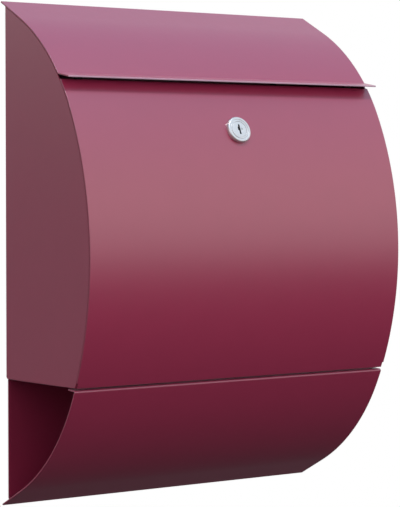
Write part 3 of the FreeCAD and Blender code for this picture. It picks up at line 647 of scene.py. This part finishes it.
# %% One recipe, and zinc made with it
def layered_finish(name, metallic, shade, rough, relief):
    """Finish of three noises. Shade: waves per metre, detail, dark, light. Rough: waves per metre and
    two limits of roughness. Relief: waves per metre, strength and height in metres."""
    tree, surface = new_finish(name)
    shade_waves, shade_detail, dark, light = shade
    rough_waves, smoothest, roughest = rough
    relief_waves, strength, height = relief
    shades(tree, surface, object_noise(tree, shade_waves, shade_detail), dark, light)
    surface.inputs["Metallic"].default_value = metallic
    roughness(tree, surface, object_noise(tree, rough_waves), smoothest, roughest)
    bumps(tree, surface, object_noise(tree, relief_waves), strength, height)
    return tree, surface


layered_finish("zinc_steel", 1.0,
               shade=(420.0, 4.0, rgb(0.50, 0.51, 0.53), rgb(0.66, 0.67, 0.69)),
               rough=(260.0, 0.30, 0.46), relief=(1500.0, 0.15, 0.00005))
print("finishes", sorted(FINISHES))

# %% [markdown]
# The lock has a satin plating. Inside the keyway a nearly black shade is painted over the plating,
# where a point lies deeper than the plug's face and close to the lock's axis. Its depth along the
# axis is a dot product, and its distance from the axis a cross product.

# %% The lock's plating and the shade painted in its keyway
JOINTS = {joint["name"]: joint for joint in frame["record"]["behaviour"]["joints"]}
LOCK_CENTRE = Vector(JOINTS["lock_turn"]["pos_m"])
LOCK_OUT = -Vector(JOINTS["lock_turn"]["axis"]).normalized()
KEYWAY_REACH = 0.0055
KEYWAY_SHADE_START = 0.0032
KEYWAY_SHADE_END = 0.0024
# Painted shade: a nearly black colour laid over the plating inside the keyway.
KEYWAY_PAINTED_SHADE = rgb(0.035, 0.040, 0.045)


def vector_math(tree, operation, first, second=None):
    """Node that works on one vector, or on a vector and a fixed second one."""
    node = tree.nodes.new("ShaderNodeVectorMath")
    node.operation = operation
    tree.links.new(first, node.inputs[0])
    if second:
        node.inputs[1].default_value = second
    return node.outputs


def keyway_painted_shade(tree):
    """Grey value for the shade painted in the keyway: 1 inside it and 0 elsewhere, deeper along the
    lock's axis than the plug's face, and nearer to that axis than the keyway's end."""
    place = tree.nodes.new("ShaderNodeTexCoord")
    from_lock = vector_math(tree, "SUBTRACT", place.outputs["Object"], LOCK_CENTRE)[0]
    depth = vector_math(tree, "DOT_PRODUCT", from_lock, LOCK_OUT)["Value"]
    across = vector_math(tree, "CROSS_PRODUCT", from_lock, LOCK_OUT)[0]
    reach = vector_math(tree, "LENGTH", across)["Value"]
    below = tree.nodes.new("ShaderNodeMapRange")
    below.inputs["From Min"].default_value = KEYWAY_SHADE_START
    below.inputs["From Max"].default_value = KEYWAY_SHADE_END
    tree.links.new(depth, below.inputs["Value"])
    near = tree.nodes.new("ShaderNodeMath")
    near.operation = "LESS_THAN"
    near.inputs[1].default_value = KEYWAY_REACH
    tree.links.new(reach, near.inputs[0])
    both = tree.nodes.new("ShaderNodeMath")
    both.operation = "MULTIPLY"
    tree.links.new(below.outputs[0], both.inputs[0])
    tree.links.new(near.outputs[0], both.inputs[1])
    return both.outputs[0]


lock_tree, lock_surface = layered_finish(
    "lock_metal", 0.7,
    shade=(500.0, 2.0, rgb(0.69, 0.66, 0.66), rgb(0.75, 0.71, 0.71)),
    rough=(700.0, 0.30, 0.38), relief=(1200.0, 0.06, 0.00003))
# Paints the nearly black shade into the keyway.
lay_over(lock_tree, lock_surface, keyway_painted_shade(lock_tree), KEYWAY_PAINTED_SHADE)
print("lock at", [round(value, 4) for value in LOCK_CENTRE])

# %% [markdown]
# The last three are plain. Rivets are bare aluminium, a little lighter than zinc. The wall bushes are
# moulded in black plastic with a fine grain, and the buttons that flap and door close on are rubber,
# which is darker and mirrors least of all.

# %% Aluminium, plastic and rubber
layered_finish("rivet_metal", 1.0,
               shade=(600.0, 2.0, rgb(0.72, 0.73, 0.75), rgb(0.80, 0.81, 0.83)),
               rough=(900.0, 0.28, 0.40), relief=(2500.0, 0.12, 0.00004))
layered_finish("bush_plastic", 0.0,
               shade=(300.0, 2.0, rgb(0.030, 0.030, 0.032), rgb(0.042, 0.042, 0.044)),
               rough=(800.0, 0.48, 0.58), relief=(2600.0, 0.3, 0.00006))
layered_finish("buffer_rubber", 0.0,
               shade=(500.0, 2.0, rgb(0.018, 0.018, 0.018), rgb(0.030, 0.030, 0.030)),
               rough=(900.0, 0.68, 0.82), relief=(3000.0, 0.35, 0.00006))
print("finishes", sorted(FINISHES))

# %% [markdown]
# The flap is one sheet: its tail rests on the back edge of the box, it follows the front round the
# shoulder, and at the bottom it is folded out into a lip to lift it by. The lip also sheds rain. The
# helper that finishes a piece says which slot it fills, which body it moves with and which parts it
# stands for, here and for every piece that follows.

# %% Flap
LIP_HEIGHT = 0.1691
LIP_LENGTH = 0.0187
LIP_SLOPE = math.radians(10.0)


def finish(obj, slot, body, *replaced):
    """Gives a piece its material, its slot, the body it rides on and the nodes that it stands for."""
    obj.data.materials.clear()
    obj.data.materials.append(FINISHES[slot])
    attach(obj, body)
    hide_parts(*replaced)


def paint_highlight_at_end(obj):
    """Marks the last rows of a sheet, its cut front edge, for the painted highlight: 1 there and 0
    elsewhere.
    """
    marks = np.zeros(len(obj.data.vertices))
    marks[-POINTS_AROUND * EDGE_STEPS:] = 1.0
    obj.data.attributes.new(HIGHLIGHT_ATTRIBUTE, "FLOAT", "POINT").data.foreach_set("value", marks)


lip_lean = lean_at(LIP_HEIGHT)
flap_moves = [(TAIL_LENGTH, 0.0)] + front_moves(TAIL_ANGLE, lip_lean)
flap_moves += [bend(INSIDE_BEND, LIP_SLOPE - (math.pi / 2 - lip_lean)), (LIP_LENGTH - INSIDE_BEND, 0.0)]
flap_heading = math.radians(270) - TAIL_ANGLE
flap = sheet("flap_skin", (TIP_Y, TOP_TIP), flap_heading, flap_moves, SKIN, HALF_WIDTH)
# The lip's cut edge gets the painted highlight.
paint_highlight_at_end(flap)
smooth(flap)
finish(flap, "powder_coat", "flap", "flap_panel")

# %% [markdown]
# Holes and notches are punched in a real sheet before it is rolled. Here they are cut once, for good,
# with a Boolean, and the bevel comes after it so that the edge of a hole is rounded too. Every cutter
# is a prism: an outline in its own plane, carried along a third direction.

# %% Cutting with prisms
def cut(obj, cutters, operation="DIFFERENCE"):
    """Takes the cutters out of the piece for good (or adds them to it), and removes them."""
    for cutter in cutters:
        modifier = obj.modifiers.new("cut", "BOOLEAN")
        modifier.operation = operation
        modifier.solver = "EXACT"
        modifier.object = cutter
    bpy.context.view_layer.update()
    depsgraph = bpy.context.evaluated_depsgraph_get()
    made = bpy.data.meshes.new_from_object(obj.evaluated_get(depsgraph))
    obj.modifiers.clear()
    obj.data = made
    for cutter in cutters:
        bpy.data.objects.remove(cutter)


def prism(name, outline, low, high, place):
    """Closed prism: an outline (n, 2) in the first two axes of a place, carried from low to high
    along its third axis. A place is three axes and an origin."""
    count = len(outline)
    flat = np.concatenate([np.column_stack([outline, np.full(count, h)]) for h in (low, high)])
    points = flat @ np.array(place[:3]) + np.array(place[3])
    ring = np.arange(count)
    after = np.roll(ring, -1)
    faces = np.stack([ring, after, after + count, ring + count], 1).tolist()
    faces += [ring[::-1].tolist(), (ring + count).tolist()]
    return mesh_object(name, points, faces)


def corner_outline(side, near_x, far_x, low, high):
    """Rectangle at the left (side -1) or right (side 1) of a piece, in order round its middle."""
    corners = np.array([[near_x, low], [far_x, low], [far_x, high], [near_x, high]]) * (side, 1)
    return corners[::side]


lock_lean = math.asin(LOCK_OUT.z)
LOCK_UP = Vector((0.0, math.sin(lock_lean), math.cos(lock_lean)))
LOCK_FRAME = ((1.0, 0.0, 0.0), tuple(LOCK_UP), tuple(LOCK_OUT), tuple(LOCK_CENTRE))
print("lock leans", round(math.degrees(lock_lean), 2), "degrees")

# %% [markdown]
# The door is rolled to the same line. It has a round hole with two flats, which stop the lock from
# turning in it, and a small notch at each lower corner where it swings past the side walls.

# %% Door
LOCK_HOLE_RADIUS = 0.0096
LOCK_HOLE_FLAT = 0.0083
LOCK_HOLE_POINTS = 96
HOLE_EDGE = 0.00015
NOTCH_HEIGHT = 0.00535
NOTCH_GAP = 0.0004
CUT_REACH = 3 * SKIN


def lock_hole():
    """Round outline with two flats: x = radius * cos a, held within the flats, y = radius * sin a."""
    angle = np.linspace(0, 2 * math.pi, LOCK_HOLE_POINTS, endpoint=False)
    across = np.clip(LOCK_HOLE_RADIUS * np.cos(angle), -LOCK_HOLE_FLAT, LOCK_HOLE_FLAT)
    return np.stack([across, LOCK_HOLE_RADIUS * np.sin(angle)], 1)


door_foot = front_point(door_bottom_lean)
FOOT_FRAME = ((1.0, 0.0, 0.0), (0.0, math.sin(door_bottom_lean), math.cos(door_bottom_lean)),
              (0.0, -math.cos(door_bottom_lean), math.sin(door_bottom_lean)), (0.0, *door_foot))
door = sheet("door_skin", door_foot, math.pi / 2 - door_bottom_lean,
             front_moves(door_bottom_lean, door_top_lean), -SKIN, HALF_WIDTH)
cutters = [prism("hole_cutter", lock_hole(), -CUT_REACH, CUT_REACH, LOCK_FRAME)]
for side in (-1, 1):
    notch = corner_outline(side, HALF_WIDTH - WALL - NOTCH_GAP, HALF_WIDTH + WALL,
                           -NOTCH_HEIGHT, NOTCH_HEIGHT)
    cutters.append(prism("notch_cutter", notch, -CUT_REACH, CUT_REACH, FOOT_FRAME))
cut(door, cutters)
soften(door, HOLE_EDGE)
finish(door, "powder_coat", "door", "door_panel")
print("faces of the door", len(door.data.polygons))

# %% [markdown]
# The newspaper tray is the same kind of sheet, turned the other way: tail at the wall, round the
# lower shoulder, then folded inwards just under the door. The fold is the bright line in the
# picture. Its top has to lie a set gap under the door. The lean where that happens is found by
# halving an interval again and again, which is simpler than solving for it.

# %% Where the tray is folded
FOOT_GAP = 0.0017
FOLD_INSIDE = 0.0006
FOLD = FOLD_INSIDE + SKIN
FLANGE_SLOPE = math.radians(5)
HALVINGS = 60


def tray_fold_lean():
    """Lean where the tray's fold starts, so that the fold's top lies a set gap under the door."""
    target = DOOR_LOW.z - MIDDLE - FOOT_GAP
    low, high = -TAIL_ANGLE, 0.0
    for _ in range(HALVINGS):
        middle = (low + high) / 2
        height = front_point(middle)[1] - MIDDLE
        if height + FOLD * (math.cos(FLANGE_SLOPE) - math.sin(middle)) > target:
            high = middle
        else:
            low = middle
    return low


fold_lean = tray_fold_lean()
print("the fold starts at a lean of", round(math.degrees(fold_lean), 2), "degrees")

# %% [markdown]
# Behind the fold the sheet runs inwards as a flange, slopes up a little, and bends level under the
# floor, where the rivets hold it. It keeps its full width only just behind the front. After that it
# is cut back at both ends, so that nothing of it shows under the side walls.

# %% Newspaper tray
REAR_FOLD = INSIDE_BEND + SKIN
FLOOR_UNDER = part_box("compartment_floor")[0].z
RIVET_LOW, RIVET_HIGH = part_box("tray_rivets")
RIVET_TO_END = 0.008
SEAT_END = (RIVET_LOW.y + RIVET_HIGH.y) / 2 + RIVET_TO_END
FLANGE_FULL = 0.0108
FLANGE_RELIEF = 0.022
BOX_FRAME = ((1.0, 0.0, 0.0), (0.0, 1.0, 0.0), (0.0, 0.0, 1.0), (0.0, 0.0, 0.0))

tray_moves = [(TAIL_LENGTH, 0.0)] + front_moves(-TAIL_ANGLE, fold_lean)
tray_moves += [bend(FOLD, FLANGE_SLOPE - (math.pi / 2 - fold_lean))]
tray_heading = math.pi / 2 + TAIL_ANGLE
line, _ = follow((TIP_Y, BOTTOM_TIP), tray_heading, tray_moves)
rise = FLOOR_UNDER - line[-1][1]
trim = REAR_FOLD * math.tan(FLANGE_SLOPE / 2)
seat_start = line[-1][0] + rise / math.tan(FLANGE_SLOPE)
tray_moves += [(rise / math.sin(FLANGE_SLOPE) - trim, 0.0), bend(REAR_FOLD, -FLANGE_SLOPE)]
tray_moves += [(SEAT_END - seat_start - trim, 0.0)]
tray = sheet("tray_skin", (TIP_Y, BOTTOM_TIP), tray_heading, tray_moves, -SKIN, HALF_WIDTH)

relief_start = front_point(fold_lean)[0] + FLANGE_FULL
relief_low = DOOR_LOW.z - FOOT_GAP - 2 * SKIN
cutters = []
for side in (-1, 1):
    relief = corner_outline(side, HALF_WIDTH - FLANGE_RELIEF, HALF_WIDTH + WALL,
                            relief_start, SEAT_END + WALL)
    cutters.append(prism("relief_cutter", relief, relief_low, FLOOR_UNDER + WALL, BOX_FRAME))
cut(tray, cutters)
soften(tray, HOLE_EDGE)
finish(tray, "powder_coat", "housing", "newspaper_tray")
print("tray ends at y %.4f, floor under z %.4f" % (SEAT_END, FLOOR_UNDER))

# %% [markdown]
# A lock like this is cast in zinc or turned from brass rod. Everything round on it comes from one
# line turned about its axis, with each corner of the line rounded. Blender's Screw modifier could
# turn the line too, but whole arrays make the same rings in one step.

# %% Turned shapes
CORNER_STEPS = 5
SAME_POINT = 1e-7
RING_POINTS = 144
CIRCLE_POINTS = 64
CUTTER_CORNER = 0.00025


def rounded(corners, trims, closed):
    """Line with rounded corners: at each corner the curve (1-s)^2 a + 2s(1-s) p + s^2 b, where a and
    b lie a trim's length before and after the corner p. The ends of an open line stay as they are."""
    points = np.array(corners, float)
    trims = np.broadcast_to(np.array(trims, float), len(points)).copy()
    if not closed:
        trims[[0, -1]] = 0.0
    before = np.roll(points, 1, 0) - points
    after = np.roll(points, -1, 0) - points
    a = points + before / np.linalg.norm(before, axis=1)[:, None] * trims[:, None]
    b = points + after / np.linalg.norm(after, axis=1)[:, None] * trims[:, None]
    s = np.linspace(0, 1, CORNER_STEPS)[None, :, None]
    line = (1 - s) ** 2 * a[:, None] + 2 * s * (1 - s) * points[:, None] + s ** 2 * b[:, None]
    line = line.reshape(-1, 2)
    return line[np.linalg.norm(line - np.roll(line, 1, 0), axis=1) > SAME_POINT]


def lathe(name, section, closed):
    """Surface of revolution about the lock's axis. The section is rows of (radius, height, trim), and
    every point of its rounded line becomes the ring (radius cos a, radius sin a, height)."""
    section = np.array(section)
    profile = rounded(section[:, :2], section[:, 2], closed)
    angle = np.linspace(0, 2 * math.pi, RING_POINTS, endpoint=False)
    rings = np.zeros((len(profile), RING_POINTS, 3))
    rings[..., 0] = profile[:, :1] * np.cos(angle)
    rings[..., 1] = profile[:, :1] * np.sin(angle)
    rings[..., 2] = profile[:, 1:]
    return tube(name, rings @ np.array(LOCK_FRAME[:3]) + np.array(LOCK_FRAME[3]), closed)


def rectangle(low_x, high_x, low_y, high_y):
    """Outline of a rectangle with slightly rounded corners."""
    corners = [(low_x, low_y), (high_x, low_y), (high_x, high_y), (low_x, high_y)]
    return rounded(corners, CUTTER_CORNER, True)


def circle(radius, middle=0.0):
    """Outline of a circle: (middle + radius * cos a, radius * sin a)."""
    angle = np.linspace(0, 2 * math.pi, CIRCLE_POINTS, endpoint=False)
    return np.stack([middle + radius * np.cos(angle), radius * np.sin(angle)], 1)


print("a turned piece has", RING_POINTS, "points around")

# %% [markdown]
# The lock's body is the part that stays still: a round face with a ring groove on the door, and a
# barrel through it, bored for the plug. Two flats are milled on the barrel to fit the door's hole. A
# lug at its rear end stops the plug after a quarter turn.

# %% Lock body
FACE_FRONT = 0.0036
FACE_FLAT = 0.0122
FACE_RADIUS = 0.0130
RIM_FRONT = 0.0028
GROOVE_INSIDE = 0.00945
GROOVE_OUTSIDE = 0.01035
GROOVE_FLOOR = 0.0031
BORE = 0.00805
BORE_STEP = -0.00085
REAR_BORE = 0.00655
BARREL = 0.0095
BARREL_REAR = -0.0150
BARREL_FLAT = 0.0082
PAST_BARREL = 0.012
PAST_REAR = -0.020
LUG_FROM = -115
LUG_TO = -65
LUG_POINTS = 17
LUG_OUTSIDE = 0.0092
LUG_INSIDE = 0.0067
LUG_REAR = -0.0162
LUG_ROOT = -0.0145
BODY_EDGE = 0.00008
LOCK_SHARP = 50

body_section = [
    (BORE, FACE_FRONT, 0.00015), (GROOVE_INSIDE, FACE_FRONT, 0.00015),
    (GROOVE_INSIDE, GROOVE_FLOOR, 0.0001), (GROOVE_OUTSIDE, GROOVE_FLOOR, 0.0001),
    (GROOVE_OUTSIDE, FACE_FRONT, 0.00015), (FACE_FLAT, FACE_FRONT, 0.0004),
    (FACE_RADIUS, RIM_FRONT, 0.0005), (FACE_RADIUS, 0.0, 0.0002),
    (BARREL, 0.0, 0.0002), (BARREL, BARREL_REAR, 0.0003),
    (REAR_BORE, BARREL_REAR, 0.0003), (REAR_BORE, BORE_STEP, 0.0002), (BORE, BORE_STEP, 0.0002)]
lock_body = lathe("lock_body", body_section, True)
flats = [prism("flat_cutter", rectangle(*sides, -PAST_BARREL, PAST_BARREL), PAST_REAR, 0.0, LOCK_FRAME)
         for sides in ((BARREL_FLAT, PAST_BARREL), (-PAST_BARREL, -BARREL_FLAT))]
cut(lock_body, flats)
lug_angle = np.radians(np.linspace(LUG_FROM, LUG_TO, LUG_POINTS))
lug_arc = np.stack([np.cos(lug_angle), np.sin(lug_angle)], 1)
lug_outline = np.concatenate([lug_arc * LUG_OUTSIDE, lug_arc[::-1] * LUG_INSIDE])
cut(lock_body, [prism("lock_lug", lug_outline, LUG_REAR, LUG_ROOT, LOCK_FRAME)], "UNION")
soften(lock_body, BODY_EDGE, LOCK_SHARP)
finish(lock_body, "lock_metal", "door", "lock_housing")
print("lock body", len(lock_body.data.polygons), "faces")

# %% [markdown]
# The plug turns in the body. A square at its rear carries the cam. The cuts follow as a milling
# cutter would make them: the keyway, a wider part of it at one side that guides the key, a round mark
# beside it, and a bore in the square's end for the cam's screw.

# %% Lock plug
PLUG_FRONT = 0.0034
PLUG_DISC = 0.0070
PLUG_RADIUS = 0.0080
PLUG_STEP = -0.0008
NECK_RADIUS = 0.0065
NECK_REAR = -0.01505
SQUARE = 0.0035
SQUARE_REAR = -0.0182
SQUARE_ROOT = -0.0140
KEYWAY = (-0.0009, 0.0009, -0.005, 0.005)
KEYWAY_FLOOR = -0.0094
WARD = (-0.0019, 0.0, -0.0010, 0.0026)
WARD_FLOOR = 0.0016
MARK_RADIUS = 0.0013
MARK_SIDE = 0.0027
MARK_DEPTH = 0.0004
SCREW_BORE = 0.00205
SCREW_BORE_END = -0.01055
PAST_FACE = 0.005
PLUG_EDGE = 0.00012

plug_section = [
    (NECK_RADIUS, NECK_REAR, 0.0), (NECK_RADIUS, PLUG_STEP, 0.0003), (PLUG_RADIUS, PLUG_STEP, 0.0003),
    (PLUG_RADIUS, PLUG_FRONT, 0.0004), (PLUG_DISC, PLUG_FRONT, 0.0)]
plug = lathe("lock_core", plug_section, False)
square = rectangle(-SQUARE, SQUARE, -SQUARE, SQUARE)
cut(plug, [prism("lock_square", square, SQUARE_REAR, SQUARE_ROOT, LOCK_FRAME)], "UNION")
for name, outline, low, high in (
        ("key_cutter", rectangle(*KEYWAY), KEYWAY_FLOOR, PAST_FACE),
        ("ward_cutter", rectangle(*WARD), WARD_FLOOR, PAST_FACE),
        ("mark_cutter", circle(MARK_RADIUS, MARK_SIDE), PLUG_FRONT - MARK_DEPTH, PAST_FACE),
        ("screw_cutter", circle(SCREW_BORE), PAST_REAR, SCREW_BORE_END)):
    cut(plug, [prism(name, outline, low, high, LOCK_FRAME)])
soften(plug, PLUG_EDGE, LOCK_SHARP)
finish(plug, "lock_metal", "lock_core", "lock_plug")
print("lock plug", len(plug.data.polygons), "faces")

# %% [markdown]
# Every other part of the construction model is shown too, as a cleaned copy: its triangles are
# joined at their corners, flat areas become single faces, and a small bevel rounds the edges, so
# that light runs along them as it does on real sheet metal and castings.

# %% The rest of the parts
SAME_CORNER = 0.000004
SAME_FLAT = math.radians(0.6)
NODE_SHARP = 30
BEHAVIOUR_BODIES = frame["record"]["behaviour"]["bodies"]
BODY_OF = {node: body for body, members in BEHAVIOUR_BODIES.items() for node in members}
SLOT_OF = {part["node"]: part["material_slot"] for part in frame["record"]["subparts"]}
EDGE_RADIUS = {"powder_coat": 0.0003, "zinc_steel": 0.00012, "rivet_metal": 0.0002,
               "bush_plastic": 0.0003, "buffer_rubber": 0.0004}
MADE_ABOVE = ("flap_panel", "door_panel", "newspaper_tray", "lock_housing", "lock_plug")


def dress(node, slot):
    """Copy of a node with its doubles merged, its flats joined and its edges rounded."""
    mesh = nodes[node].data.copy()
    built = bmesh.new()
    built.from_mesh(mesh)
    bmesh.ops.remove_doubles(built, verts=built.verts, dist=SAME_CORNER)
    bmesh.ops.dissolve_limit(built, angle_limit=SAME_FLAT, verts=built.verts, edges=built.edges)
    bmesh.ops.recalc_face_normals(built, faces=built.faces)
    built.to_mesh(mesh)
    built.free()
    obj = bpy.data.objects.new(node + "_dressed", mesh)
    bpy.context.scene.collection.objects.link(obj)
    soften(obj, EDGE_RADIUS[slot], NODE_SHARP)
    finish(obj, slot, BODY_OF[node], node)


for node in sorted(nodes):
    if node not in MADE_ABOVE:
        dress(node, SLOT_OF[node])
print("dressed", len(nodes) - len(MADE_ABOVE), "nodes")
